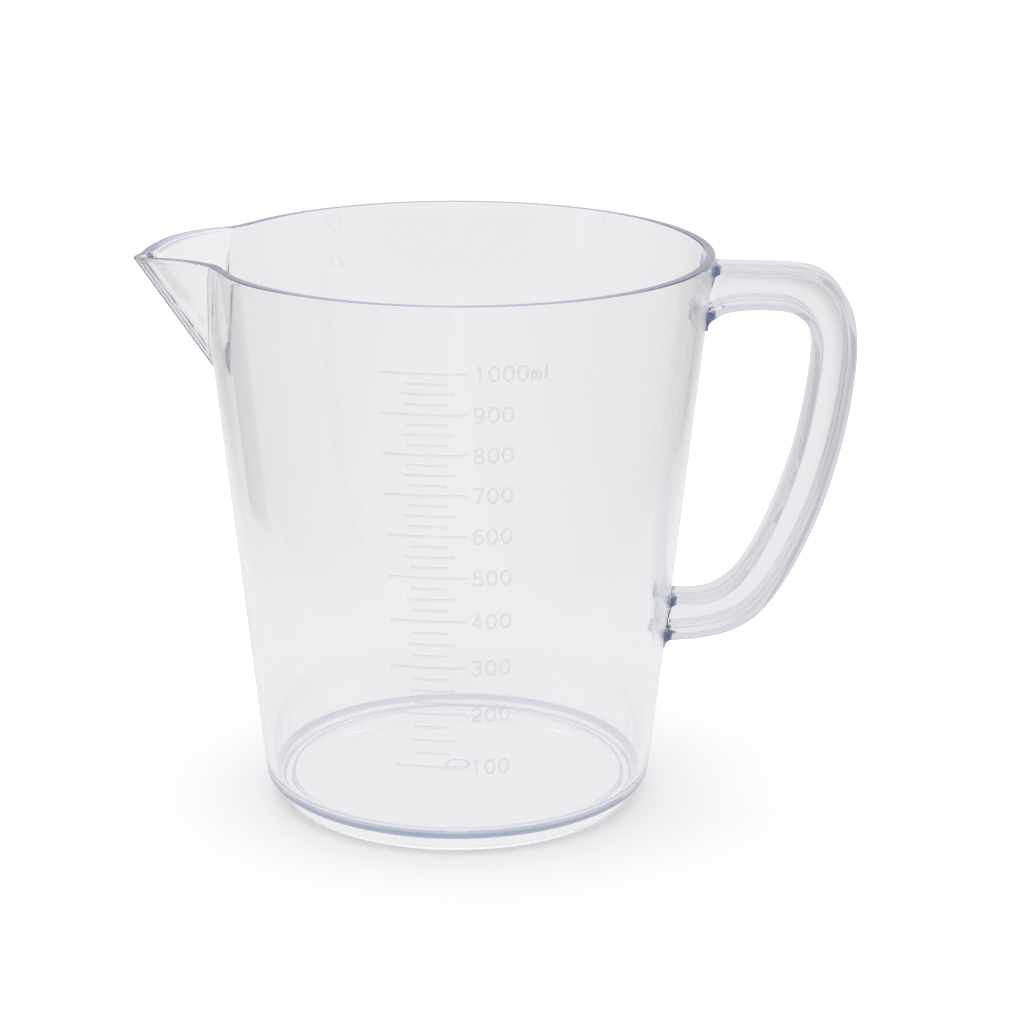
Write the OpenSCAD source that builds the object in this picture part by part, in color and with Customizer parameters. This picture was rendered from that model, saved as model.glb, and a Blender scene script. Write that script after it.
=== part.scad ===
// One-litre measuring jug, moulded in one piece from clear plastic.
// The moulding is drawn region by region. Each region is a closed solid and
// meets its neighbours face to face, so together they make the whole jug.
// Origin: on the jug's axis, at the plane the foot stands on.
// +Z up, handle toward +X, pouring spout toward -X, graduations toward -Y.

/* [Body] */
// Outside diameter at the rim
rim_d = 125; // [115:0.5:135]
// Height from the foot to the rim
body_h = 138.7; // [136:0.1:142]
// Radius gained for each millimetre of height, on the tapered side
draft = 0.105; // [0.095:0.001:0.115]
// Thickness of the side wall
wall = 2.4; // [2:0.1:2.8]
// Radius of the outside corner between the side and the base
heel_r = 2.5; // [1.5:0.1:3]
// Radius of the inside corner between the side and the base
inner_heel_r = 2; // [1:0.1:3]
// Thickness of the base
floor_t = 2.2; // [1.6:0.1:3]

/* [Foot] */
// Height of the foot ring under the base
foot_h = 4; // [3:0.1:5]
// Outside radius of the foot ring
foot_r = 44.4; // [43:0.1:45]
// Thickness of the foot ring
foot_t = 2.4; // [1.6:0.1:3]
// Diameter of the gate mark left in the middle of the underside
gate_d = 5.8; // [4:0.1:8]
// Height of the gate mark
gate_h = 1.6; // [0.6:0.1:2.4]

/* [Spout] */
// How far the spout's tip stands out from the jug's axis
spout_reach = 80; // [77:0.5:83]
// Lean of the spout's keel away from upright, in degrees
keel_lean = 34.5; // [32:0.5:37]
// Thickness of the spout's wall
spout_wall = 2.2; // [1.8:0.1:2.6]
// How far the tip of the lip dips under the rim
lip_dip = 2; // [0.5:0.1:3]

/* [Handle] */
// Width of the handle's two rails
rail_w = 11; // [9:0.5:14]
// Thickness of the outer rail
outer_rail_t = 1.9; // [1.5:0.1:2.6]
// Thickness of the inner rail
inner_rail_t = 1.7; // [1.5:0.1:2.6]
// Thickness of the web between the rails
web_t = 2; // [1.4:0.1:3]
// Size of the fillet pads where the rails join the wall
root_pad = 1.4; // [0.8:0.1:2]

/* [Graduations] */
// How far the marks stand out from the wall
mark_relief = 0.3; // [0.2:0.05:0.5]
// Thickness of each graduation line
line_t = 0.5; // [0.3:0.05:0.8]
// Height of the numerals
digit_h = 4; // [3:0.1:5]
// Width of each numeral
digit_w = 2.7; // [2:0.1:3.2]
// Width of the strokes of the numerals
stroke_w = 0.5; // [0.35:0.05:0.7]
// Distance from one numeral to the next
digit_pitch = 3.3; // [3:0.1:4]

/* [Hidden] */
clear_blue = [0.86, 0.89, 0.95, 0.5];
clear_edge = [0.72, 0.77, 0.88, 0.6];
mark_grey = [0.78, 0.80, 0.84, 0.9];

rim_r = rim_d / 2;
slant = atan(draft);
wall_h = wall / cos(slant);          // the wall measured level
floor_z = foot_h + floor_t;          // top of the base
split_r = foot_r - 0.4;              // where base and side wall meet
function r_out(z) = rim_r - draft * (body_h - z);
function r_in(z) = r_out(z) - wall_h;

// Points on an arc in the (radius, height) plane.
function arc(c, r, a0, a1, n) =
    [for (i = [0:n]) let (a = a0 + (a1 - a0) * i / n) c + r * [cos(a), sin(a)]];

// Centre of the outside heel: one heel radius in from the cone and up from the foot line.
heel_z = foot_h + heel_r;
heel_x = r_out(heel_z) - heel_r / cos(slant);
inner_z = floor_z + inner_heel_r;
inner_x = r_in(inner_z) - inner_heel_r / cos(slant);
edge_r = 0.35;                       // softened rim edges

// A solid of the jug's outside cone, grown outward by g.
module cone_solid(g = 0) {
    rotate_extrude($fn = 96)
        polygon([[0, -5], [r_out(-5) + g, -5],
                 [r_out(body_h + 10) + g, body_h + 10], [0, body_h + 10]]);
}

module body_profile() {
    polygon(concat(
        [[split_r, foot_h]],
        arc([heel_x, heel_z], heel_r, -90, -slant, 8),
        [[r_out(body_h - edge_r), body_h - edge_r]],
        [[rim_r - edge_r, body_h]],
        [[rim_r - wall_h + edge_r, body_h]],
        [[r_in(body_h - edge_r), body_h - edge_r]],
        arc([inner_x, inner_z], inner_heel_r, -slant, -90, 6),
        [[split_r, floor_z]]));
}

module body_wall() {
    color(clear_blue)
    difference() {
        rotate_extrude($fn = 96) body_profile();
        spout_prism(spout_wall);
    }
}

module base_floor() {
    color(clear_blue)
    translate([0, 0, foot_h]) cylinder(h = floor_t, r = split_r, $fn = 96);
}

module foot_ring() {
    color(clear_edge)
    rotate_extrude($fn = 96)
        polygon([[foot_r - foot_t, foot_h], [foot_r - foot_t, 0.4],
                 [foot_r - foot_t + 0.4, 0], [foot_r - 0.5, 0],
                 [foot_r, 0.5], [foot_r, foot_h]]);
}

module gate_mark() {
    color(clear_edge)
    translate([0, 0, foot_h - gate_h])
        cylinder(h = gate_h, r = gate_d / 2, $fn = 48);
}

// Half of the spout's plan outline at rim height: distance back from the tip, half width.
spout_half = [[0, 0], [0.25, 0.9], [0.8, 1.8], [1.9, 3.7], [3.1, 6], [4.7, 8.3],
              [6.6, 10.8], [8.7, 13.1], [11.5, 15.6], [15, 18.3],
              [18.4, 20.8], [21.5, 23.2], [24, 25], [36, 25]];
// The same seen square to the keel.
function spout_sec() = [for (p = spout_half) [p[0] * cos(keel_lean), p[1]]];
function unit2(v) = v / norm(v);
function nrm2(a, b) = let (d = unit2(b - a)) [d[1], -d[0]];
// Outline moved inward by t, worked out point by point.
function inset(p, t) = [for (i = [0:len(p) - 1])
    let (n0 = i == 0 ? nrm2([p[1][0], -p[1][1]], p[0]) : nrm2(p[i - 1], p[i]),
         n1 = i == len(p) - 1 ? n0 : nrm2(p[i], p[i + 1]),
         m = unit2(n0 + n1))
    p[i] + m * t / max(0.5, m * n1)];
function mirrored(p) = concat(p, [for (i = [len(p) - 1:-1:1]) [p[i][0], -p[i][1]]]);

// The spout's outline carried along the slanting keel, moved inward by t.
module spout_prism(t = 0) {
    sec = t > 0 ? inset(spout_sec(), t) : spout_sec();
    translate([-spout_reach, 0, body_h])
        rotate([0, -keel_lean, 0])
            translate([0, 0, -60])
                linear_extrude(height = 90) polygon(mirrored(sec));
}

module lip_cut() {
    x0 = spout_reach - 12;
    rotate([90, 0, 0]) translate([0, 0, -50])
        linear_extrude(height = 100)
            polygon([[-x0 - 60, body_h - lip_dip * 60 / 10.6], [-x0, body_h],
                     [-20, body_h], [-20, body_h + 60], [-x0 - 60, body_h + 60]]);
}

module pouring_spout() {
    color(clear_blue)
    difference() {
        spout_prism(0);
        spout_prism(spout_wall);
        cone_solid();
        lip_cut();
    }
}

// Handle outline in its own plane: outer side, then finger side, from top root to lower root.
outer_pts = [[54, 135.6], [64, 135.4], [74, 135.1], [82, 134.8], [88.2, 133.5],
             [93, 129.9], [96.2, 124.2], [97.4, 117], [97.3, 109.5], [95.9, 97.8],
             [93.3, 85.5], [89.6, 73.2], [84.3, 60.8], [79.4, 52.2], [74.6, 46.4],
             [68.4, 42.6], [61, 40.7], [54, 40.1], [44, 39.6]];
inner_pts = [[54, 119.4], [61, 121.6], [64.8, 123.8], [70, 124.7], [76.4, 124.7],
             [81.4, 124], [84.9, 121.4], [86.9, 117], [87.2, 112], [86.5, 104.6],
             [84.5, 92.6], [81.4, 81.2], [77, 69.4], [72.4, 60.2], [68, 54.6],
             [63.4, 51.8], [59, 51], [54, 51], [44, 51.2]];
// Smooth curve through the points.
function cr(p0, p1, p2, p3, t) =
    0.5 * ((2 * p1) + (p2 - p0) * t + (2 * p0 - 5 * p1 + 4 * p2 - p3) * t * t
           + (3 * p1 - p0 - 3 * p2 + p3) * t * t * t);
function smooth_line(p, n) = concat(
    [for (i = [0:len(p) - 2]) for (j = [0:n - 1])
        cr(p[max(0, i - 1)], p[i], p[i + 1], p[min(len(p) - 1, i + 2)], j / n)],
    [p[len(p) - 1]]);
// The curve moved sideways by t.
function beside(p, t) = [for (i = [0:len(p) - 1])
    let (d = unit2(p[min(len(p) - 1, i + 1)] - p[max(0, i - 1)])) p[i] + t * [d[1], -d[0]]];
function back(p) = [for (i = [len(p) - 1:-1:0]) p[i]];

outer_line = smooth_line(outer_pts, 3);
inner_line = smooth_line(inner_pts, 3);
outer_under = beside(outer_line, outer_rail_t);
inner_over = beside(inner_line, -inner_rail_t);

// A flat outline in the handle's plane, given thickness w across it.
module in_plane(pts, w) {
    translate([0, w / 2, 0]) rotate([90, 0, 0])
        linear_extrude(height = w) polygon(pts);
}

module rail(a, b) {
    difference() {
        in_plane(concat(a, back(b)), rail_w);
        cone_solid(root_pad);
    }
}

module handle_outer_rail() { color(clear_blue) rail(outer_line, outer_under); }

module handle_inner_rail() { color(clear_blue) rail(inner_line, inner_over); }

module handle_web() {
    color(clear_blue)
    difference() {
        in_plane(concat(outer_under, back(inner_over)), web_t);
        cone_solid();
    }
}

// Wider pads where both rails run into the wall.
module root_pads(lo, hi) {
    intersection() {
        difference() {
            union() {
                in_plane(concat(outer_line, back(outer_under)), rail_w + root_pad);
                in_plane(concat(inner_line, back(inner_over)), rail_w + root_pad);
            }
            cone_solid();
        }
        cone_solid(root_pad);
        translate([0, -20, lo]) cube([110, 40, hi - lo]);
    }
}

module handle_upper_root() { color(clear_edge) root_pads(90, body_h); }

module handle_lower_root() { color(clear_edge) root_pads(20, 90); }

// Height of each hundred-millilitre line above the foot.
level_z = [24.1, 38, 50, 61.9, 72.9, 83.3, 93.4, 103.3, 113.1, 122.9];
function level(v) = let (i = floor(v / 100) - 1, f = v / 100 - 1 - i)
    i >= 9 ? level_z[9] : level_z[i] + f * (level_z[i + 1] - level_z[i]);

// One raised line, from angle a0 to a1 measured to the right of the front.
module ring_line(z, a0, a1) {
    rotate([0, 0, a0 - 90])
        rotate_extrude(angle = a1 - a0, $fn = 96)
            polygon([[r_out(z - line_t / 2), z - line_t / 2],
                     [r_out(z - line_t / 2) + mark_relief, z - line_t / 2],
                     [r_out(z + line_t / 2) + mark_relief, z + line_t / 2],
                     [r_out(z + line_t / 2), z + line_t / 2]]);
}

module hundred_lines() {
    color(mark_grey) for (v = [100:100:1000]) ring_line(level(v), -17, 2.1);
}

module fifty_lines() {
    color(mark_grey) for (v = [150:100:950]) ring_line(level(v), -12.4, -0.6);
}

module quarter_lines() {
    color(mark_grey) for (v = [125:50:975]) ring_line(level(v), -11.4, -2.2);
}

// Stroke paths of the plain numerals on a unit square, as polylines.
two = [[0.04, 0.72], [0.1, 0.87], [0.26, 0.97], [0.5, 1], [0.74, 0.97], [0.9, 0.87],
       [0.96, 0.72], [0.9, 0.57], [0.7, 0.4], [0.4, 0.22], [0.12, 0]];
three_top = [[0.06, 0.86], [0.22, 0.97], [0.48, 1], [0.74, 0.97], [0.88, 0.87],
             [0.9, 0.74], [0.8, 0.6], [0.6, 0.53], [0.36, 0.52]];
three_low = [[0.36, 0.52], [0.66, 0.51], [0.88, 0.42], [0.96, 0.27], [0.88, 0.11],
             [0.68, 0.02], [0.42, 0], [0.18, 0.04], [0.02, 0.16]];
five_low = [[0.14, 0.52], [0.34, 0.61], [0.58, 0.62], [0.82, 0.54], [0.96, 0.38],
            [0.94, 0.19], [0.78, 0.05], [0.5, 0], [0.22, 0.04], [0.03, 0.15]];
six_tail = [[0.86, 0.9], [0.64, 1], [0.4, 0.97], [0.18, 0.82], [0.06, 0.56], [0.04, 0.32]];
arch = [[0, 0.4], [0.05, 0.54], [0.2, 0.6], [0.36, 0.56], [0.44, 0.44], [0.45, 0]];

function fit2(p) = [for (q = p) [q[0] * (digit_w - stroke_w) + stroke_w / 2,
                                 q[1] * (digit_h - stroke_w) + stroke_w / 2]];
function ribbon(p, w) = concat(beside(p, w / 2), back(beside(p, -w / 2)));
module pen(p) { polygon(ribbon(fit2(p), stroke_w)); }
// A closed oval stroke with its middle at c and half sizes h.
module oval(c, h) {
    m = fit2([c])[0];
    e = [h[0] * (digit_w - stroke_w), h[1] * (digit_h - stroke_w)];
    difference() {
        polygon([for (a = [0:20:340]) m + [(e[0] + stroke_w / 2) * cos(a), (e[1] + stroke_w / 2) * sin(a)]]);
        polygon([for (a = [0:20:340]) m + [(e[0] - stroke_w / 2) * cos(a), (e[1] - stroke_w / 2) * sin(a)]]);
    }
}

module numeral(d) {
    if (d == 0) oval([0.5, 0.5], [0.5, 0.5]);
    if (d == 1) { pen([[0.56, 1.0], [0.56, 0]]); pen([[0.2, 0.78], [0.56, 0.99]]); }
    if (d == 2) { pen(two); pen([[0.04, 0], [1, 0]]); }
    if (d == 3) { pen(three_top); pen(three_low); }
    if (d == 4) { pen([[0.74, 0], [0.74, 1]]); pen([[0.7, 0.98], [0.02, 0.3]]); pen([[0, 0.28], [1, 0.28]]); }
    if (d == 5) { pen([[0.9, 1], [0.18, 1]]); pen([[0.22, 1.03], [0.12, 0.5]]); pen(five_low); }
    if (d == 6) { oval([0.52, 0.31], [0.46, 0.31]); pen(six_tail); }
    if (d == 7) { pen([[0, 1], [1, 1]]); pen([[0.96, 0.98], [0.36, -0.02]]); }
    if (d == 8) { oval([0.5, 0.26], [0.48, 0.26]); oval([0.5, 0.76], [0.4, 0.24]); }
    if (d == 9) { oval([0.48, 0.69], [0.46, 0.31]); pen([for (q = six_tail) [1 - q[0], 1 - q[1]]]); }
}

// One flat glyph stood against the front of the wall at height z, its left edge at angle a.
module on_wall(z, a, w) {
    half = w / 2 / r_out(z) * 180 / PI;
    rotate([0, 0, a + half]) rotate([90, 0, 0])
        translate([-w / 2, z - digit_h / 2, r_out(z) - 2])
            linear_extrude(height = 4) children();
}

// The thin layer outside the wall that raised marks fill.
module relief_skin() {
    difference() {
        rotate_extrude($fn = 96)
            polygon([[0, 10], [r_out(10) + mark_relief, 10],
                     [r_out(130) + mark_relief, 130], [0, 130]]);
        cone_solid();
    }
}

first_a = 3.4;                        // left edge of the numerals
function step_a(z, k) = k * digit_pitch / r_out(z) * 180 / PI;

module numerals() {
    color(mark_grey)
    intersection() {
        union() {
            for (h = [1:9]) {
                z = level(h * 100);
                on_wall(z, first_a, digit_w) numeral(h);
                on_wall(z, first_a + step_a(z, 1), digit_w) numeral(0);
                on_wall(z, first_a + step_a(z, 2), digit_w) numeral(0);
            }
            z = level(1000);
            on_wall(z, first_a, digit_w) numeral(1);
            for (k = [1:3]) on_wall(z, first_a + step_a(z, k), digit_w) numeral(0);
        }
        relief_skin();
    }
}

module unit_mark() {
    z = level(1000);
    color(mark_grey)
    intersection() {
        union() {
            on_wall(z, first_a + step_a(z, 4), digit_w) {
                pen([[0, 0], [0, 0.6]]);
                pen(arch);
                pen([for (q = arch) q + [0.45, 0]]);
            }
            on_wall(z, first_a + step_a(z, 5), digit_w) pen([[0, 0], [0, 1.05]]);
        }
        relief_skin();
    }
}

body_wall();
base_floor();
foot_ring();
gate_mark();
pouring_spout();
handle_outer_rail();
handle_inner_rail();
handle_web();
handle_upper_root();
handle_lower_root();
hundred_lines();
fifty_lines();
quarter_lines();
numerals();
unit_mark();
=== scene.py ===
import math

import bpy
import numpy as np
from mathutils import Matrix, Vector


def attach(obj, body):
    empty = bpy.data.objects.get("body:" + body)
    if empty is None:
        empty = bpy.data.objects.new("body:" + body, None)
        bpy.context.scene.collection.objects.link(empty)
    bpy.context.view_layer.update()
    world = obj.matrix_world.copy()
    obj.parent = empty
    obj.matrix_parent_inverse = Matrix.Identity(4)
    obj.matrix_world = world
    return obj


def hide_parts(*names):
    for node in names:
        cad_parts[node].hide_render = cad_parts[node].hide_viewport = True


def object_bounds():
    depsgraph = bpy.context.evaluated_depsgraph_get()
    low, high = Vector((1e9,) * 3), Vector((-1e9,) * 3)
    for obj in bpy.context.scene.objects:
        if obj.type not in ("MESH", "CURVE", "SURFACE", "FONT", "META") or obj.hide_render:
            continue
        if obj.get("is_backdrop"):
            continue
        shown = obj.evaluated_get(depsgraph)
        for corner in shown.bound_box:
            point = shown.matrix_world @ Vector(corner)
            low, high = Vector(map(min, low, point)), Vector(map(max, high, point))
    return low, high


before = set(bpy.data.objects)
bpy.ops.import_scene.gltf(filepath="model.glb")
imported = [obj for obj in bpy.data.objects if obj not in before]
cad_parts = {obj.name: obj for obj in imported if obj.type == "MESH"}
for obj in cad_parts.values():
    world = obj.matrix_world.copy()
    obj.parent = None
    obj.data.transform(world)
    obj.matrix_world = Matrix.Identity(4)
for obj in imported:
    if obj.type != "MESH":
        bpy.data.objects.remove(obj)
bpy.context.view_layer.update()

M = 0.001  # every length below is in millimetres, in the row frame

# ---------------------------------------------------------------- sizes, as in the CAD part
RIM_R, TOP_Z, DRAFT = 62.5, 138.7, 0.105
TILT = math.atan(DRAFT)
WALL = 2.4 / math.cos(TILT)
FLOOR_UNDER, FLOOR_TOP = 4.0, 6.2
HEEL_R, INNER_HEEL_R = 2.5, 2.0
FOOT_OUT, FOOT_IN = 44.4, 42.0
GATE_R, GATE_H = 2.9, 1.3
# painted shade colour for the heel's blue band, and the band's heights
HEEL_PAINTED_SHADE, HEEL_BAND = (0.52, 0.56, 0.67), (0.004, 0.0062)
RIM_ROUGH, RIM_SATIN = 0.3, 0.33
# painted shade colours for the handle's rails and web
RAIL_PAINTED_SHADE, WEB_PAINTED_SHADE = (0.82, 0.83, 0.86), (0.95, 0.95, 0.955)
SPOUT_REACH, KEEL = 80.0, math.tan(math.radians(34.5))
SPOUT_WALL = 1.5                                             # at the keel
CREASE_WALL, SHARE_FROM, SHARE_OVER = (2.2, 2.8), (1, 0.5), (7, 3)   # beside the crease, on the -Y and +Y sides
SOFT_OUT, SOFT_IN = (0.7, 0.9), (1.0, 1.15)   # rounding of the crease between spout and wall
SPOUT_HALF = [(0, 0), (0.25, 0.9), (0.8, 1.8), (1.9, 3.7), (3.1, 6), (4.7, 8.3), (6.6, 10.8), (8.7, 13.1),
              (11.5, 15.6), (15, 18.3), (18.4, 20.8), (21.5, 23.2), (24, 25), (30, 26.2), (40, 27), (66, 27)]
RAIL_W, OUTER_T, INNER_T, WEB_T = 11.0, 1.9, 1.7, 2.0
OUTER_PTS = [(54, 135.6), (64, 135.4), (74, 135.1), (82, 134.8), (88.2, 133.5), (93, 129.9), (96.2, 124.2), (97.4, 117),
             (97.3, 109.5), (95.9, 97.8), (93.3, 85.5), (89.6, 73.2), (84.3, 60.8), (79.4, 52.2), (74.6, 46.4),
             (68.4, 42.6), (61, 40.7), (54, 40.1), (44, 39.6)]
INNER_PTS = [(54, 119.4), (61, 121.6), (64.8, 123.8), (70, 124.7), (76.4, 124.7), (81.4, 124), (84.9, 121.4), (86.9, 117),
             (87.2, 112), (86.5, 104.6), (84.5, 92.6), (81.4, 81.2), (77, 69.4), (72.4, 60.2), (68, 54.6), (63.4, 51.8),
             (59, 51), (54, 51), (44, 51.2)]


def r_out(z):
    return RIM_R - DRAFT * (TOP_Z - z)


def r_in(z):
    return r_out(z) - WALL


def soft_max(a, b, k):
    h = np.maximum(k - np.abs(a - b), 0) / k
    return np.maximum(a, b) + h * h * k / 4


def catmull(points, n):
    """A smooth line through points, with n steps in each span."""
    p = np.array(points, float)
    p = np.vstack([2 * p[0] - p[1], p, 2 * p[-1] - p[-2]])
    out = []
    for i in range(1, len(p) - 2):
        for t in np.arange(n) / n:
            a, b, c, d = p[i - 1], p[i], p[i + 1], p[i + 2]
            out.append(0.5 * (2 * b + (c - a) * t + (2 * a - 5 * b + 4 * c - d) * t * t + (3 * b - a - 3 * c + d) * t ** 3))
    out.append(p[-2])
    return np.array(out)


def normals(line):
    """Unit normals on the left of a line."""
    t = np.gradient(line, axis=0)
    t /= np.linalg.norm(t, axis=1)[:, None]
    return np.stack([-t[:, 1], t[:, 0]], -1), t


def add_mesh(name, verts, faces):
    me = bpy.data.meshes.new(name)
    me.from_pydata((np.asarray(verts, float) * M).tolist(), [], faces)
    me.validate()
    ob = bpy.data.objects.new(name, me)
    bpy.context.scene.collection.objects.link(ob)
    return ob


# ---------------------------------------------------------------- the spout's outline, seen from above
# d is the distance back from the tip and w the half width. The outline slides down the keel line.
outline = catmull(SPOUT_HALF, 8)
full = np.vstack([outline[::-1] * [1, -1], outline[1:]])
n_all, t_all = normals(full)
n_half, t_half = n_all[len(outline) - 1:], t_all[len(outline) - 1:]


def inner_outline(side):
    """The spout's inner face: the outline moved in by the wall, with its point rounded."""
    share = np.clip((outline[:, 0] - SHARE_FROM[side]) / SHARE_OVER[side], 0, 1)
    push = SPOUT_WALL + (CREASE_WALL[side] - SPOUT_WALL) * share * share * (3 - 2 * share)
    push = push * np.sqrt(1 + (KEEL * t_half[:, 1]) ** 2)
    inner = outline - n_half * push[:, None]
    first = int(np.argmax(inner[:, 1] > 0))
    f = inner[first, 1] / (inner[first, 1] - inner[first - 1, 1]) if first else 0
    tip_in = inner[first] + (inner[first - 1] - inner[first]) * f if first else inner[0]
    inner = np.vstack([[tip_in[0], 0], inner[first:]])
    slope = (inner[3, 0] - inner[0, 0]) / (inner[3, 1] - inner[0, 1])
    round_in = 0.9
    near = np.exp(-(inner[:, 1] / 2.2) ** 2)
    inner[:, 0] += slope * (np.sqrt(inner[:, 1] ** 2 + round_in ** 2) - inner[:, 1]) * near
    return inner


A_GRID, Z_GRID = np.linspace(0, 1.5, 1001), np.linspace(90, 142, 521)


def outline_table(line):
    """Radius of the spout's outline for each height and each angle from the spout. Zero where the outline isn't."""
    rows = []
    for z in Z_GRID:
        x = SPOUT_REACH - KEEL * (TOP_Z - z) - line[:, 0]
        keep = x > 8
        a, r = np.arctan2(line[keep, 1], x[keep]), np.hypot(line[keep, 1], x[keep])
        good = np.concatenate([[True], np.maximum.accumulate(a)[:-1] < a[1:]])
        rows.append(np.interp(A_GRID, a[good], r[good], right=0))
    return np.array(rows)


def spout_r(table, theta, z):
    u = np.clip(np.abs(theta) / A_GRID[1], 0, len(A_GRID) - 1.001)
    v = np.clip((z - Z_GRID[0]) / (Z_GRID[1] - Z_GRID[0]), 0, len(Z_GRID) - 1.001)
    i, j = u.astype(int), v.astype(int)
    u, v = u - i, v - j
    r = (table[j, i] * (1 - u) + table[j, i + 1] * u) * (1 - v) + (table[j + 1, i] * (1 - u) + table[j + 1, i + 1] * u) * v
    return np.where((z < Z_GRID[0]) | (np.abs(theta) > A_GRID[-1]), 0, r)


OUTLINE, OUTLINE_IN = [outline_table(outline)] * 2, [outline_table(inner_outline(0)), outline_table(inner_outline(1))]


LIP = np.array([(0, -1.75), (2, -1.5), (4, -0.9), (6.3, -0.3), (10.45, 0.5), (12.75, 0.8), (15.9, 1.05), (18.4, 1.05), (21.7, 0.9),
                (24.85, 0.5), (29, 0.15), (34, 0), (180, 0)])


def lip_height(theta):
    grid = np.radians(np.arange(-200, 200.01, 0.1))
    v = np.interp(np.abs(np.degrees(grid)), LIP[:, 0], LIP[:, 1])
    k = np.exp(-(np.arange(-30, 31) / 12.0) ** 2)
    v = np.convolve(np.pad(v, 30, mode="edge"), k / k.sum(), "valid")
    return TOP_Z + np.interp(theta, grid, v)


def crease(z, cone, line):
    """Angle at which the spout's outline leaves the wall at height z."""
    t = np.radians(np.linspace(0, 32, 641))
    over = spout_r(line, t, np.full_like(t, z)) > cone(z)
    return t[over][-1] if over.any() else 0.0


# Columns of the wall's grid follow the crease, so that it stays clean down to the foot of the keel.
N_IN, N_EDGE, N_REST = 26, 26, 150
ROW_Z = np.linspace(60, 141, 163)


def crease_table(cone, line):
    c = np.array([crease(z, cone, line) for z in ROW_Z])
    c = np.maximum(c, math.radians(5))
    c = np.where(ROW_Z < 112, math.radians(5) + (math.radians(17) - math.radians(5)) * np.clip((112 - ROW_Z) / 26, 0, 1) ** 1.0, c)
    k = np.exp(-(np.arange(-8, 9) / 4.0) ** 2)
    return np.convolve(np.pad(c, 8, mode="edge"), k / k.sum(), "valid")


CREASE_OUT = crease_table(r_out, OUTLINE[0])
CREASE_IN = crease_table(r_in, OUTLINE_IN[0])


def columns(tc):
    """The half turn's column angles, for one crease angle."""
    a = np.linspace(0, 0.72 * tc, N_IN, endpoint=False)
    b = np.linspace(0.72 * tc, 1.32 * tc, N_EDGE, endpoint=False)
    u = np.linspace(0, 1, N_REST + 1)
    s0 = (0.6 * tc / N_EDGE) / ((math.pi - 1.32 * tc) / N_REST)
    g = u + (s0 - 1) * u * (1 - u) ** 6
    c = 1.32 * tc + (math.pi - 1.32 * tc) * g
    half = np.concatenate([a, b, c])
    return np.concatenate([half, -half[-2:0:-1]])


def ring(theta, r, z):
    # the spout is at -X, and theta grows towards -Y
    return np.stack([-r * np.cos(theta), -r * np.sin(theta), z], -1)


def wall_row(v, table, cone, line, low, drop, k):
    """One row of a wall, at share v of the way from height low to the lip."""
    tc0 = np.interp(low + v * (TOP_Z - low), ROW_Z, table)
    theta = columns(tc0)
    z = low + v * (lip_height(theta) - drop - low)
    spout = np.where(theta >= 0, spout_r(line[0], theta, z), spout_r(line[1], theta, z))
    return theta, soft_max(cone(z), spout, np.where(theta >= 0, k[0], k[1])), z


def arc(c, r, a0, a1, n):
    a = np.radians(np.linspace(a0, a1, n))
    return [(c[0] + r * math.cos(t), c[1] + r * math.sin(t)) for t in a]


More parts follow.
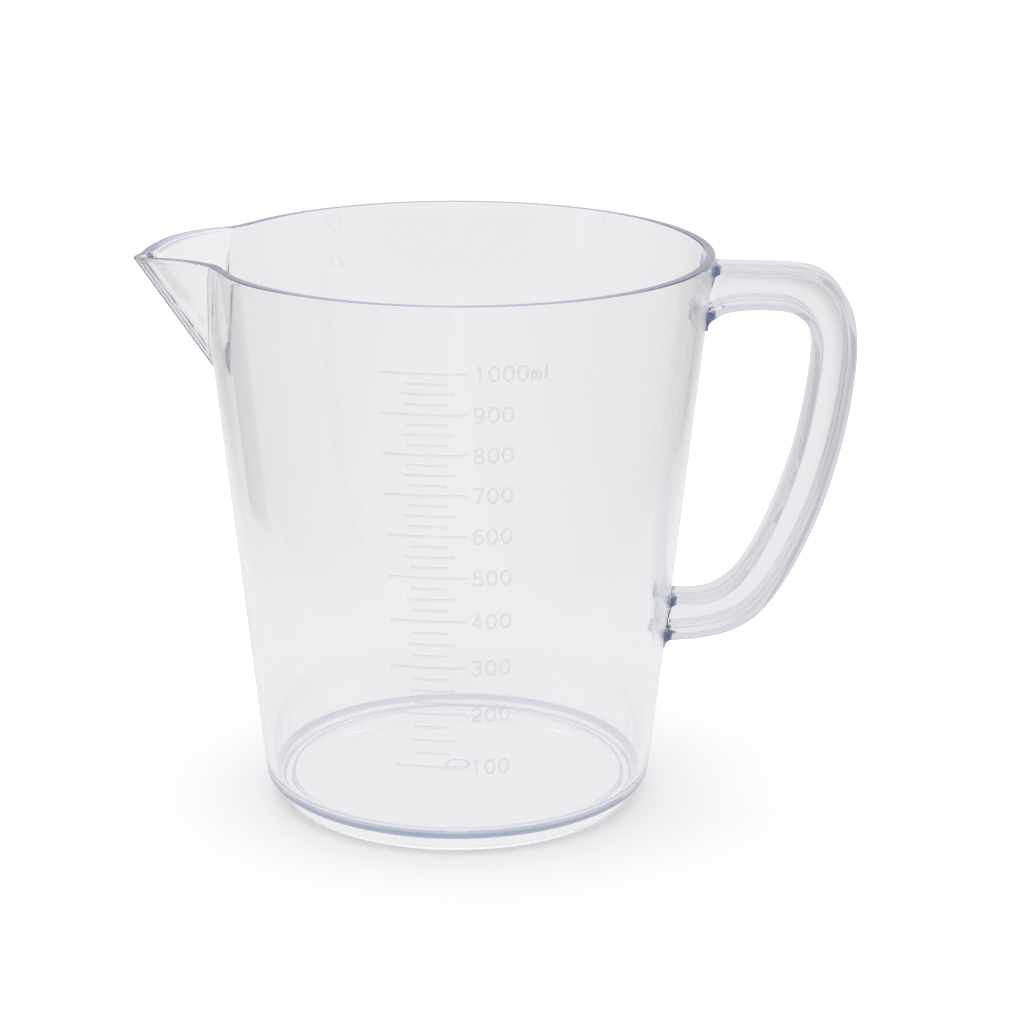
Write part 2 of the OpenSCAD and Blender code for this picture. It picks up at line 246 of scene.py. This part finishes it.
def build_body():
    rows = []
    base = columns(CREASE_OUT[0])

    def flat(r, z):
        rows.append(ring(base, np.full_like(base, r), np.full_like(base, z)))

    # floor, from the middle out, then the inner heel
    tilt = math.degrees(TILT)
    rc = r_in(FLOOR_TOP + INNER_HEEL_R) - INNER_HEEL_R / math.cos(TILT)
    for r in (0.6, 3, 8, 14, 20, 26, 31.4, 31.8, 32.2, 32.6, 36, rc - 1.2):
        flat(r, FLOOR_TOP)
    for r, z in arc((rc, FLOOR_TOP + INNER_HEEL_R), INNER_HEEL_R, -90, -tilt, 10):
        flat(r, z)
    # inner wall up to the lip
    low = 10.0
    lip_in, lip_out = 0.5, 0.45
    steps = np.concatenate([np.linspace(0, 0.66, 66, endpoint=False), np.linspace(0.66, 1, 60)])
    for v in steps:
        t, r, z = wall_row(v, CREASE_IN, r_in, OUTLINE_IN, low, lip_in, SOFT_IN)
        rows.append(ring(t, r, z))
    last_in = rows[-1]
    t, r, z = wall_row(1.0, CREASE_OUT, r_out, OUTLINE, low, lip_out, SOFT_OUT)
    first_out = ring(t, r, z)
    # the lip: a small round at each edge and a flat between them
    across = first_out[:, :2] - last_in[:, :2]
    length = np.linalg.norm(across, axis=1)[:, None]
    unit = across / length
    for a in np.radians(np.linspace(15, 90, 6)):
        p = last_in.copy()
        p[:, :2] += unit * lip_in * (1 - math.cos(a))
        p[:, 2] += lip_in * math.sin(a)
        rows.append(p)
    mid = last_in.copy()
    mid[:, :2] += across * 0.5
    mid[:, 2] += lip_in
    rows.append(mid)
    for a in np.radians(np.linspace(90, 15, 6)):
        p = first_out.copy()
        p[:, :2] -= unit * lip_out * (1 - math.cos(a))
        p[:, 2] += lip_out * math.sin(a)
        rows.append(p)
    for v in steps[::-1]:
        t, r, z = wall_row(v, CREASE_OUT, r_out, OUTLINE, low, lip_out, SOFT_OUT)
        rows.append(ring(t, r, z))
    # outer heel, underside, foot ring, gate
    rc = r_out(FLOOR_UNDER + HEEL_R) - HEEL_R / math.cos(TILT)
    for r, z in arc((rc, FLOOR_UNDER + HEEL_R), HEEL_R, -tilt, -90, 12):
        flat(r, z)
    for r, z in arc((FOOT_OUT + 0.6, FLOOR_UNDER - 0.6), 0.6, 90, 180, 6):
        flat(r, z)
    for r, z in arc((FOOT_OUT - 0.5, 0.5), 0.5, 0, -90, 7):
        flat(r, z)
    for r, z in arc((FOOT_IN + 0.5, 0.5), 0.5, -90, -180, 7):
        flat(r, z)
    for r, z in arc((FOOT_IN - 0.6, FLOOR_UNDER - 0.6), 0.6, 0, 90, 6):
        flat(r, z)
    for r in (37, 36, 35, 34, 33, 32, 31, 30, 29, 28, 27, 20, 12, 6, 4):
        u = min(max((36 - r) / 8, 0), 1)
        flat(r, FLOOR_UNDER + 0.16 * u * u * (3 - 2 * u) * min(max((r - 4) / 8, 0), 1))
    for r, z in arc((GATE_R + 0.4, FLOOR_UNDER - 0.4), 0.4, 90, 180, 5):
        flat(r, z)
    for r, z in arc((GATE_R - 0.35, FLOOR_UNDER - GATE_H + 0.35), 0.35, 0, -90, 5):
        flat(r, z)
    flat(1.2, FLOOR_UNDER - GATE_H)

    n = len(base)
    verts = [(0, 0, FLOOR_TOP)] + [p for row in rows for p in row.tolist()] + [(0, 0, FLOOR_UNDER - GATE_H)]
    faces = []
    for j in range(n):
        k = (j + 1) % n
        faces.append((0, 1 + j, 1 + k))
    for i in range(len(rows) - 1):
        a, b = 1 + i * n, 1 + (i + 1) * n
        for j in range(n):
            k = (j + 1) % n
            faces.append((a + j, b + j, b + k, a + k))
    end, a = len(verts) - 1, 1 + (len(rows) - 1) * n
    for j in range(n):
        k = (j + 1) % n
        faces.append((end, a + k, a + j))
    return add_mesh("body_grid", verts, faces)


# ---------------------------------------------------------------- the handle, a lofted I-section
FILLET = 1.5


def walk(line, n_line, dist):
    """The point at a share of the way along a line and its normal."""
    s = np.concatenate([[0], np.cumsum(np.linalg.norm(np.diff(line, axis=0), axis=1))])
    p = np.stack([np.interp(dist, s, line[:, k]) for k in (0, 1)], -1)
    q = np.stack([np.interp(dist, s, n_line[:, k]) for k in (0, 1)], -1)
    return p, q / np.linalg.norm(q, axis=-1)[..., None]


def gap(p):
    """How far a point stands off the wall, in the plane of the handle."""
    return (p[..., 0] - r_out(p[..., 1])) * math.cos(TILT)


def at_gap(line, d, upper):
    """Where along the line, from one of its ends, it stands d off the wall."""
    s = np.concatenate([[0], np.cumsum(np.linalg.norm(np.diff(line, axis=0), axis=1))])
    g = gap(line)
    half = int(np.argmax(g))
    return np.interp(d, g[:half], s[:half]) if upper else np.interp(-d, -g[half:], s[half:])


def build_handle():
    outer, inner_l = catmull(OUTER_PTS, 10), catmull(INNER_PTS, 10)
    n_o, _ = normals(outer)
    n_i, _ = normals(inner_l)
    # left of the outer line faces out and left of the inner line faces the web
    flare = np.concatenate([[-1.3, -0.6, 0.0], FILLET * (1 - np.cos(np.radians([12, 24, 36, 48, 60, 72, 84, 90])))])
    ends_o = [[at_gap(outer, d, up) for d in flare] for up in (True, False)]
    ends_i = [[at_gap(inner_l, d, up) for d in flare] for up in (True, False)]
    mid = np.linspace(0, 1, 92)[1:-1]
    s_o = np.concatenate([ends_o[0], ends_o[0][-1] + (ends_o[1][-1] - ends_o[0][-1]) * mid, ends_o[1][::-1]])
    s_i = np.concatenate([ends_i[0], ends_i[0][-1] + (ends_i[1][-1] - ends_i[0][-1]) * mid, ends_i[1][::-1]])
    e_mid = np.zeros(len(mid))
    depth = np.clip(FILLET - flare, 0, FILLET)
    e_end = FILLET - np.sqrt(FILLET ** 2 - depth ** 2)
    e = np.concatenate([e_end, e_mid, e_end[::-1]]) * 0.96
    d_all = np.concatenate([flare, np.full(len(mid), 9.0), flare[::-1]])
    po, no = walk(outer, n_o, s_o)
    pi, ni = walk(inner_l, n_i, s_i)
    sign_o = np.sign(np.sum(no * (po - np.array([70, 90])), axis=1))[:, None]
    no = no * sign_o  # away from the loop
    sign_i = np.sign(np.sum(ni * (pi - np.array([66, 90])), axis=1))[:, None]
    ni = ni * sign_i
    web_f = 1.0
    rings = []
    for i in range(len(s_o)):
        ei = e[i]
        w, wt = RAIL_W / 2 + ei, WEB_T / 2 + ei
        to, ti = OUTER_T + ei, INNER_T + ei
        a, u = po[i], no[i]
        b, v = pi[i], ni[i]
        sec = []  # (point in the x-z plane, y)

        def put(p, y):
            sec.append((p[0], y, p[1]))

        er = 0.45
        # outer rail's outer face to its inner face, on the +y side
        for t in np.radians([0, 30, 60, 90]):
            put(a + u * (ei - er + er * math.cos(t)), w - er + er * math.sin(t))
        er2 = 0.3
        for t in np.radians([90, 45, 0]):
            put(a - u * (to - er2 + er2 * math.cos(t)), w - er2 + er2 * math.sin(t))
        for t in np.radians([90, 67, 45, 22, 0]):
            put(a - u * (to + web_f - web_f * math.sin(t)), wt + web_f - web_f * math.cos(t))
        for t in np.radians([0, 22, 45, 67, 90]):
            put(b + v * (ti + web_f - web_f * math.sin(t)), wt + web_f - web_f * math.cos(t))
        for t in np.radians([0, 45, 90]):
            put(b + v * (ti - er2 + er2 * math.cos(t)), w - er2 + er2 * math.sin(t))
        for t in np.radians([90, 60, 30, 0]):
            put(b - v * (ei - er + er * math.cos(t)), w - er + er * math.sin(t))
        sec += [(x, -y, z) for x, y, z in sec[::-1]]
        sec = np.array(sec)
        # near the wall each point follows the wall's curve
        near = np.clip(1 - d_all[i] / 6, 0, 1)
        r = r_out(sec[:, 2])
        sec[:, 0] += (np.sqrt(r ** 2 - sec[:, 1] ** 2) - r) * near
        rings.append(sec)
    n = len(rings[0])
    verts = [tuple(p) for sec in rings for p in sec]
    faces = []
    for i in range(len(rings) - 1):
        for j in range(n):
            k = (j + 1) % n
            faces.append((i * n + j, (i + 1) * n + j, (i + 1) * n + k, i * n + k))
    faces.append(tuple(range(n)))
    faces.append(tuple((len(rings) - 1) * n + j for j in range(n - 1, -1, -1)))
    return add_mesh("handle_loft", verts, faces)


def fix_normals(ob):
    import bmesh
    bm = bmesh.new()
    bm.from_mesh(ob.data)
    bmesh.ops.recalc_face_normals(bm, faces=bm.faces)
    bm.to_mesh(ob.data)
    bm.free()


def union(name, a, b):
    mod = a.modifiers.new("join", "BOOLEAN")
    mod.operation, mod.object, mod.solver = "UNION", b, "MANIFOLD"
    dg = bpy.context.evaluated_depsgraph_get()
    me = bpy.data.meshes.new_from_object(a.evaluated_get(dg))
    ob = bpy.data.objects.new(name, me)
    bpy.context.scene.collection.objects.link(ob)
    for o in (a, b):
        old = o.data
        bpy.data.objects.remove(o)
        bpy.data.meshes.remove(old)
    return ob


body, handle = build_body(), build_handle()
fix_normals(body)
fix_normals(handle)
jug = union("jug_moulding", body, handle)
jug.data.shade_smooth()
jug.data.set_sharp_from_angle(angle=math.radians(38))


# ---------------------------------------------------------------- materials
def node_material(name):
    mat = bpy.data.materials.new(name)
    mat.use_nodes = True
    nt = mat.node_tree
    bsdf = nt.nodes["Principled BSDF"]
    return mat, nt, bsdf, nt.nodes["Material Output"]


def clear_plastic():
    mat, nt, b, out = node_material("clear_plastic")
    b.inputs["Base Color"].default_value = (1, 1, 1, 1)
    b.inputs["IOR"].default_value = 1.57
    b.inputs["Transmission Weight"].default_value = 1
    tc = nt.nodes.new("ShaderNodeTexCoord")
    sep = nt.nodes.new("ShaderNodeSeparateXYZ")
    nt.links.new(tc.outputs["Object"], sep.inputs[0])

    def ramp(value, lo, hi, a, b):
        m = nt.nodes.new("ShaderNodeMapRange")
        m.interpolation_type = "SMOOTHSTEP"
        for key, v in (("From Min", lo), ("From Max", hi), ("To Min", a), ("To Max", b)):
            m.inputs[key].default_value = v
        nt.links.new(value, m.inputs["Value"])
        return m.outputs["Result"]

    vol = nt.nodes.new("ShaderNodeVolumeAbsorption")
    vol.inputs["Color"].default_value = (0.12, 0.21, 0.45, 1)
    vol.inputs["Density"].default_value = 3.5
    nt.links.new(vol.outputs["Volume"], out.inputs["Volume"])
    # the mould's polish is not quite even, and the lip is satin where the mould parts
    n1 = nt.nodes.new("ShaderNodeTexNoise")
    n1.inputs["Scale"].default_value = 60
    n1.inputs["Detail"].default_value = 3
    nt.links.new(tc.outputs["Object"], n1.inputs["Vector"])
    m = nt.nodes.new("ShaderNodeMapRange")
    m.inputs["To Min"].default_value = 0.012
    m.inputs["To Max"].default_value = 0.05
    nt.links.new(n1.outputs["Fac"], m.inputs["Value"])
    def math_op(op, a, b):
        m = nt.nodes.new("ShaderNodeMath")
        m.operation = op
        for k, v in enumerate((a, b)):
            if isinstance(v, (int, float)):
                m.inputs[k].default_value = v
            else:
                nt.links.new(v, m.inputs[k])
        return m.outputs[0]

    geo = nt.nodes.new("ShaderNodeNewGeometry")
    facing = nt.nodes.new("ShaderNodeSeparateXYZ")
    nt.links.new(geo.outputs["Normal"], facing.inputs[0])
    rim = math_op("MULTIPLY", ramp(facing.outputs["Z"], 0.80, 0.97, 0, 1), ramp(sep.outputs["Z"], 0.1355, 0.1368, 0, 1))
    nt.links.new(math_op("MAXIMUM", m.outputs["Result"], math_op("MULTIPLY", rim, RIM_ROUGH)), b.inputs["Roughness"])
    # painted shade: in the solid corners where the handle's two rails run into the wall, where thick plastic reads deep
    # blue, the plastic is painted deep blue and made less clear
    rho = math_op("POWER", math_op("ADD", math_op("POWER", sep.outputs["X"], 2), math_op("POWER", sep.outputs["Y"], 2)), 0.5)
    off = math_op("SUBTRACT", rho, math_op("ADD", (RIM_R - DRAFT * TOP_Z) * M, math_op("MULTIPLY", sep.outputs["Z"], DRAFT)))
    root = math_op("MULTIPLY", ramp(off, 0.00005, 0.0002, 0, 1), ramp(off, 0.0015, 0.0019, 1, 0))
    root = math_op("MULTIPLY", root, ramp(math_op("ABSOLUTE", sep.outputs["Y"], 0), 0.0024, 0.0032, 0, 1))
    root = math_op("MULTIPLY", root, ramp(sep.outputs["X"], 0.040, 0.042, 0, 1))
    # painted shade: the handle is painted grey, its thick rails a shade greyer than its web
    handle_shade_mask = math_op("MULTIPLY", ramp(off, 0.0005, 0.0020, 0, 1), ramp(sep.outputs["X"], 0.040, 0.042, 0, 1))
    web = math_op("MULTIPLY", ramp(math_op("ABSOLUTE", sep.outputs["Y"], 0), 0.0013, 0.0020, 1, 0),
                  ramp(math_op("ABSOLUTE", facing.outputs["Y"], 0), 0.80, 0.95, 0, 1))
    tone = nt.nodes.new("ShaderNodeMix")
    tone.data_type = "RGBA"
    tone.inputs[6].default_value = (*RAIL_PAINTED_SHADE, 1)
    tone.inputs[7].default_value = (*WEB_PAINTED_SHADE, 1)
    nt.links.new(web, tone.inputs[0])
    # painted shade: the handle's grey is mixed in here
    grey = nt.nodes.new("ShaderNodeMix")
    grey.data_type = "RGBA"
    grey.inputs[6].default_value = (1, 1, 1, 1)
    nt.links.new(tone.outputs[2], grey.inputs[7])
    nt.links.new(handle_shade_mask, grey.inputs[0])
    # painted shade: the heel, where light that ran through the floor comes out, is painted a darker blue too
    heel = math_op("MULTIPLY", ramp(sep.outputs["Z"], HEEL_BAND[0] - 0.0003, HEEL_BAND[0] + 0.0003, 0, 1),
                   ramp(sep.outputs["Z"], HEEL_BAND[1] - 0.0003, HEEL_BAND[1] + 0.0003, 1, 0))
    heel = math_op("MULTIPLY", heel, ramp(rho, 0.0452, 0.0460, 0, 1))
    low = nt.nodes.new("ShaderNodeMix")
    low.data_type = "RGBA"
    nt.links.new(grey.outputs[2], low.inputs[6])
    low.inputs[7].default_value = (*HEEL_PAINTED_SHADE, 1)
    nt.links.new(heel, low.inputs[0])
    # painted shade: the handle's root corners are mixed to a deep blue here
    root_painted_shade = nt.nodes.new("ShaderNodeMix")
    root_painted_shade.data_type = "RGBA"
    nt.links.new(low.outputs[2], root_painted_shade.inputs[6])
    root_painted_shade.inputs[7].default_value = (0.20, 0.28, 0.49, 1)
    nt.links.new(root, root_painted_shade.inputs[0])
    # painted shade: the lip's top is painted lilac blue, where it is less clear, for the blue that the long path up the
    # wall shows there
    rim_painted_shade = nt.nodes.new("ShaderNodeMix")
    rim_painted_shade.data_type = "RGBA"
    rim_painted_shade.inputs[7].default_value = (0.62, 0.65, 0.82, 1)
    nt.links.new(rim, rim_painted_shade.inputs[0])
    nt.links.new(root_painted_shade.outputs[2], rim_painted_shade.inputs[6])
    nt.links.new(rim_painted_shade.outputs[2], b.inputs["Base Color"])
    clear = math_op("SUBTRACT", 1, math_op("MULTIPLY", rim, RIM_SATIN))
    nt.links.new(math_op("SUBTRACT", clear, math_op("MULTIPLY", root, 0.5)), b.inputs["Transmission Weight"])
    return mat


def raised_plastic():
    mat, nt, b, out = node_material("raised_marks")
    b.inputs["IOR"].default_value = 1.38
    b.inputs["Transmission Weight"].default_value = 1
    tc = nt.nodes.new("ShaderNodeTexCoord")
    # painted shade: the clear marks are tinted grey so they read darker; the figures, right of the lines, stand out a
    # little more than the lines do
    sep = nt.nodes.new("ShaderNodeSeparateXYZ")
    nt.links.new(tc.outputs["Object"], sep.inputs[0])
    tone = nt.nodes.new("ShaderNodeMapRange")
    for key, v in (("From Min", 0.0028), ("From Max", 0.0032), ("To Min", 0.94), ("To Max", 0.895)):
        tone.inputs[key].default_value = v
    nt.links.new(sep.outputs["X"], tone.inputs["Value"])
    nt.links.new(tone.outputs["Result"], b.inputs["Base Color"])
    n1 = nt.nodes.new("ShaderNodeTexNoise")
    n1.inputs["Scale"].default_value = 400
    nt.links.new(tc.outputs["Object"], n1.inputs["Vector"])
    m = nt.nodes.new("ShaderNodeMapRange")
    m.inputs["To Min"].default_value = 0.05
    m.inputs["To Max"].default_value = 0.14
    nt.links.new(n1.outputs["Fac"], m.inputs["Value"])
    nt.links.new(m.outputs["Result"], b.inputs["Roughness"])
    return mat


plastic = clear_plastic()
jug.data.materials.clear()
jug.data.materials.append(plastic)
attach(jug, "root")
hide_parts("body_wall", "base_floor", "foot_ring", "gate_mark", "pouring_spout", "handle_outer_rail",
            "handle_inner_rail", "handle_web", "handle_upper_root", "handle_lower_root")
marks = raised_plastic()
for n in ("hundred_lines", "fifty_lines", "quarter_lines", "numerals", "unit_mark"):
    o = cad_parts[n]
    for s in o.material_slots:
        s.material = marks

# ---------------------------------------------------------------- floor, light, camera
# The photograph's background is blown out to white outside the jug, and a tone darker seen through it.
# So the floor is two planes: one is what the camera sees past the jug, the other what the plastic shows.
for name, tone, glow, direct in (("studio_floor", 0.93, 0.25, True), ("studio_floor_through", 0.02, 0.85, False)):
    mat, nt, b, out = node_material(name)
    b.inputs["Base Color"].default_value = (tone, tone, tone, 1)
    b.inputs["Roughness"].default_value = 0.9
    b.inputs["Specular IOR Level"].default_value = 0.0
    b.inputs["Emission Color"].default_value = (1, 1, 1, 1) if direct else (1, 0.992, 1.012, 1)
    b.inputs["Emission Strength"].default_value = glow
    if not direct:  # a little darker out to the two sides, which the walls' edges reflect
        tc = nt.nodes.new("ShaderNodeTexCoord")
        sep = nt.nodes.new("ShaderNodeSeparateXYZ")
        nt.links.new(tc.outputs["Object"], sep.inputs[0])
        side = nt.nodes.new("ShaderNodeMath")
        side.operation = "ABSOLUTE"
        nt.links.new(sep.outputs["X"], side.inputs[0])
        fall = nt.nodes.new("ShaderNodeMapRange")
        fall.interpolation_type = "SMOOTHSTEP"
        for key, v in (("From Min", 0.12), ("From Max", 0.26), ("To Min", glow), ("To Max", glow * 0.74)):
            fall.inputs[key].default_value = v
        nt.links.new(side.outputs[0], fall.inputs["Value"])
        nt.links.new(fall.outputs["Result"], b.inputs["Emission Strength"])
    z = 0 if direct else -0.1
    floor = add_mesh(name, [(-9000, -9000, z), (9000, -9000, z), (9000, 9000, z), (-9000, 9000, z)], [(0, 1, 2, 3)])
    floor.data.materials.append(mat)
    floor.visible_camera = direct
    floor.visible_diffuse = floor.visible_glossy = floor.visible_transmission = floor.visible_shadow = not direct
    floor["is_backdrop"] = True

# two grey cards beside the set, out of the picture, which draw the edges of clear plastic; their edges fade
for side, x, tone, top, fades in (("left", -200, 0.0, 106, ((20, 42), (110, 99))), ("right", 215, 0.70, 106, ((10, 120), (280, 220)))):
    mat, nt, b, out = node_material("card_" + side)
    b.inputs["Base Color"].default_value = (tone, tone, tone, 1)
    b.inputs["Roughness"].default_value = 0.9
    tc = nt.nodes.new("ShaderNodeTexCoord")
    sep = nt.nodes.new("ShaderNodeSeparateXYZ")
    nt.links.new(tc.outputs["Object"], sep.inputs[0])
    alpha = None
    for axis, clear, solid in (("Z", 0, 8), ("Z", 106, 90), ("Y", *fades[0]), ("Y", *fades[1])):
        fade = nt.nodes.new("ShaderNodeMapRange")
        fade.interpolation_type = "SMOOTHSTEP"
        lo, hi, a, b2 = (clear, solid, 0, 1) if clear < solid else (solid, clear, 1, 0)
        for key, v in (("From Min", lo * M), ("From Max", hi * M), ("To Min", a), ("To Max", b2)):
            fade.inputs[key].default_value = v
        nt.links.new(sep.outputs[axis], fade.inputs["Value"])
        if alpha is not None:
            both = nt.nodes.new("ShaderNodeMath")
            both.operation = "MULTIPLY"
            nt.links.new(alpha, both.inputs[0])
            nt.links.new(fade.outputs["Result"], both.inputs[1])
            alpha = both.outputs[0]
        else:
            alpha = fade.outputs["Result"]
    nt.links.new(alpha, b.inputs["Alpha"])
    y0, y1 = fades[0][0], fades[1][0]
    card = add_mesh("studio_card_" + side, [(x, y0, 0.5), (x, y1, 0.5), (x, y1, top), (x, y0, top)], [(0, 1, 2, 3)])
    card.data.materials.append(mat)
    card.visible_camera = card.visible_diffuse = card.visible_shadow = False
    card.visible_transmission = side == "right"
    card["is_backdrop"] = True

world = bpy.data.worlds.new("studio")
bpy.context.scene.world = world
world.use_nodes = True
nt = world.node_tree
bg = nt.nodes["Background"]
tc = nt.nodes.new("ShaderNodeTexCoord")
sep = nt.nodes.new("ShaderNodeSeparateXYZ")
nt.links.new(tc.outputs["Generated"], sep.inputs[0])


def smooth(value, lo, hi, a, b):
    m = nt.nodes.new("ShaderNodeMapRange")
    m.interpolation_type = "SMOOTHSTEP"
    for name, v in (("From Min", lo), ("From Max", hi), ("To Min", a), ("To Max", b)):
        m.inputs[name].default_value = v
    nt.links.new(value, m.inputs["Value"])
    return m.outputs["Result"]


def math_node(op, a, b):
    m = nt.nodes.new("ShaderNodeMath")
    m.operation = op
    for k, v in enumerate((a, b)):
        if isinstance(v, (int, float)):
            m.inputs[k].default_value = v
        else:
            nt.links.new(v, m.inputs[k])
    return m.outputs[0]


over = smooth(sep.outputs["Z"], 0.60, 0.92, 0.862, 1.15)        # the large light overhead
front = math_node("MAXIMUM", smooth(sep.outputs["Y"], -0.85, -0.30, 0.55, 1), smooth(sep.outputs["Z"], 0.15, 0.60, 0, 1))
nt.links.new(math_node("MULTIPLY", over, front), bg.inputs["Strength"])   # darker low down in front, where the camera is
bg.inputs["Color"].default_value = (1, 0.992, 1.012, 1)

F_PX, DIST, CAM_H, PITCH, YAW, ROLL = 2983.6, 711.04, 288.75, 0.29568, 0.01903, 0.00506
fw = Vector((math.sin(YAW) * math.cos(PITCH), math.cos(YAW) * math.cos(PITCH), -math.sin(PITCH)))
rt = fw.cross(Vector((0, 0, 1))).normalized()
up = rt.cross(fw)
c, s = math.cos(ROLL), math.sin(ROLL)
rt2, up2 = c * rt + s * up, -s * rt + c * up
cam = bpy.data.objects.new("camera", bpy.data.cameras.new("camera"))
bpy.context.scene.collection.objects.link(cam)
cam.data.sensor_width, cam.data.lens = 36, F_PX / 1024 * 36
cam.data.clip_start, cam.data.clip_end = 0.01, 50
rot = Matrix((rt2, up2, -fw)).transposed().to_4x4()
cam.matrix_world = Matrix.Translation(Vector((0, -DIST, CAM_H)) * M) @ rot
bpy.context.scene.camera = cam

sc = bpy.context.scene
sc.view_settings.view_transform = "Standard"
sc.view_settings.look = "None"
sc.cycles.max_bounces = 160
sc.cycles.transmission_bounces = 150
sc.cycles.glossy_bounces = 150
sc.cycles.diffuse_bounces = 4
sc.cycles.transparent_max_bounces = 12
sc.cycles.use_denoising = True

lo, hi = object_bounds()
